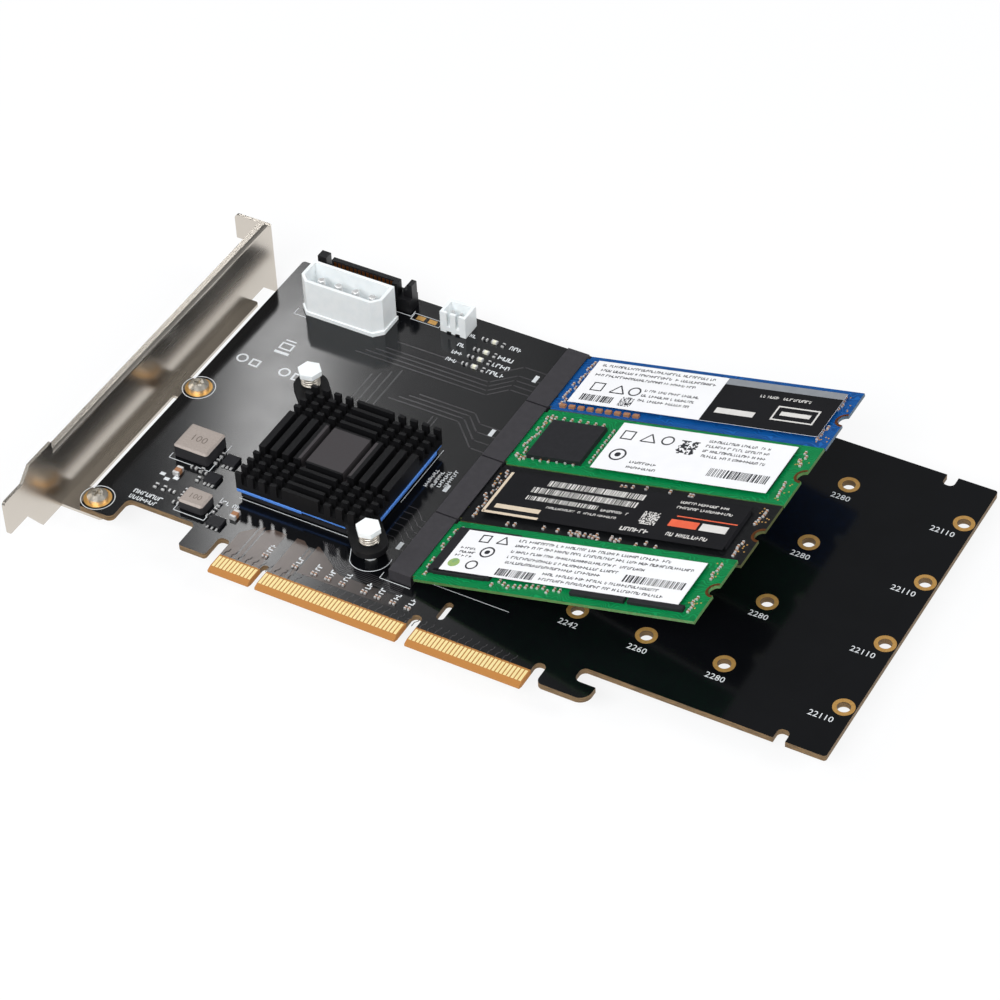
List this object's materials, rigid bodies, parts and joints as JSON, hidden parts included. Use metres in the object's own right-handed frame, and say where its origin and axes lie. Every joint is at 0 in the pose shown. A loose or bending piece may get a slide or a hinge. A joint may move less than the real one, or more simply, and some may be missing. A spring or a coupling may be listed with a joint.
{
  "type": "nvme adapter card",
  "caption": "Full-height expansion card with a finned switch-chip cooler, power headers and stick drives tipped up in their edge sockets.",
  "frame": {"origin": "centre of the contact edge's key notch, on the tips of the contacts, level with the component side of the board", "axes": "+X along the card away from the bracket, +Y from the contact edge to the top edge, +Z out of the component side"},
  "size_m": [0.2121, 0.1247, 0.0304],
  "materials": {
    "solder_mask": "satin black solder mask over glass-fibre board",
    "gold_plate": "polished gold plating",
    "bracket_steel": "bright nickel-plated steel",
    "screw_steel": "bright plated",
    "chip_black": "matte epoxy",
    "pad_blue": "matte",
    "black_anodised": "satin black anodised",
    "white_nylon": "semi-gloss nylon",
    "spring_steel": "bright wire",
    "tin_plate": "tinned",
    "socket_black": "semi-matte",
    "copper_contact": "bare copper alloy",
    "capacitor_brown": "matte",
    "inductor_grey": "matte moulded powder",
    "led_white": "clear over white",
    "drive_green": "glossy solder mask",
    "label_white": "printed film",
    "drive_black": "glossy solder mask",
    "label_black": "printed film",
    "drive_blue": "glossy solder mask",
    "label_mixed": "printed film"
  },
  "bodies": {
    "root": {"blade_power_contacts": "copper_contact", "blade_power_housing": "socket_black", "bracket_screw_lower": "screw_steel", "bracket_screw_upper": "screw_steel", "card_board": "solder_mask", "ceramic_capacitors": "capacitor_brown", "chip_resistors": "chip_black", "coupling_capacitors": "capacitor_brown", "drive_board_1": "drive_green", "drive_board_2": "drive_black", "drive_board_3": "drive_green", "drive_board_4": "drive_blue", "drive_capacitors_4": "capacitor_brown", "drive_controller_3": "chip_black", "drive_label_1": "label_white", "drive_label_2": "label_black", "drive_label_3": "label_white", "drive_label_4": "label_mixed", "drive_memory_1": "chip_black", "drive_memory_2": "chip_black", "drive_memory_3": "chip_black", "drive_memory_4": "chip_black", "drive_socket_1": "socket_black", "drive_socket_2": "socket_black", "drive_socket_3": "socket_black", "drive_socket_4": "socket_black", "edge_contacts": "gold_plate", "fan_header_housing": "white_nylon", "fan_header_pins": "tin_plate", "heatsink": "black_anodised", "io_bracket": "bracket_steel", "large_inductor": "inductor_grey", "pin_spring_left": "spring_steel", "pin_spring_right": "spring_steel", "plated_rings": "gold_plate", "power_header_housing": "white_nylon", "power_header_pins": "tin_plate", "power_transistors": "chip_black", "push_pin_left": "white_nylon", "push_pin_right": "white_nylon", "small_inductor": "inductor_grey", "status_leds": "led_white", "switch_chip": "chip_black", "thermal_pad": "pad_blue"}
  },
  "joints": []
}
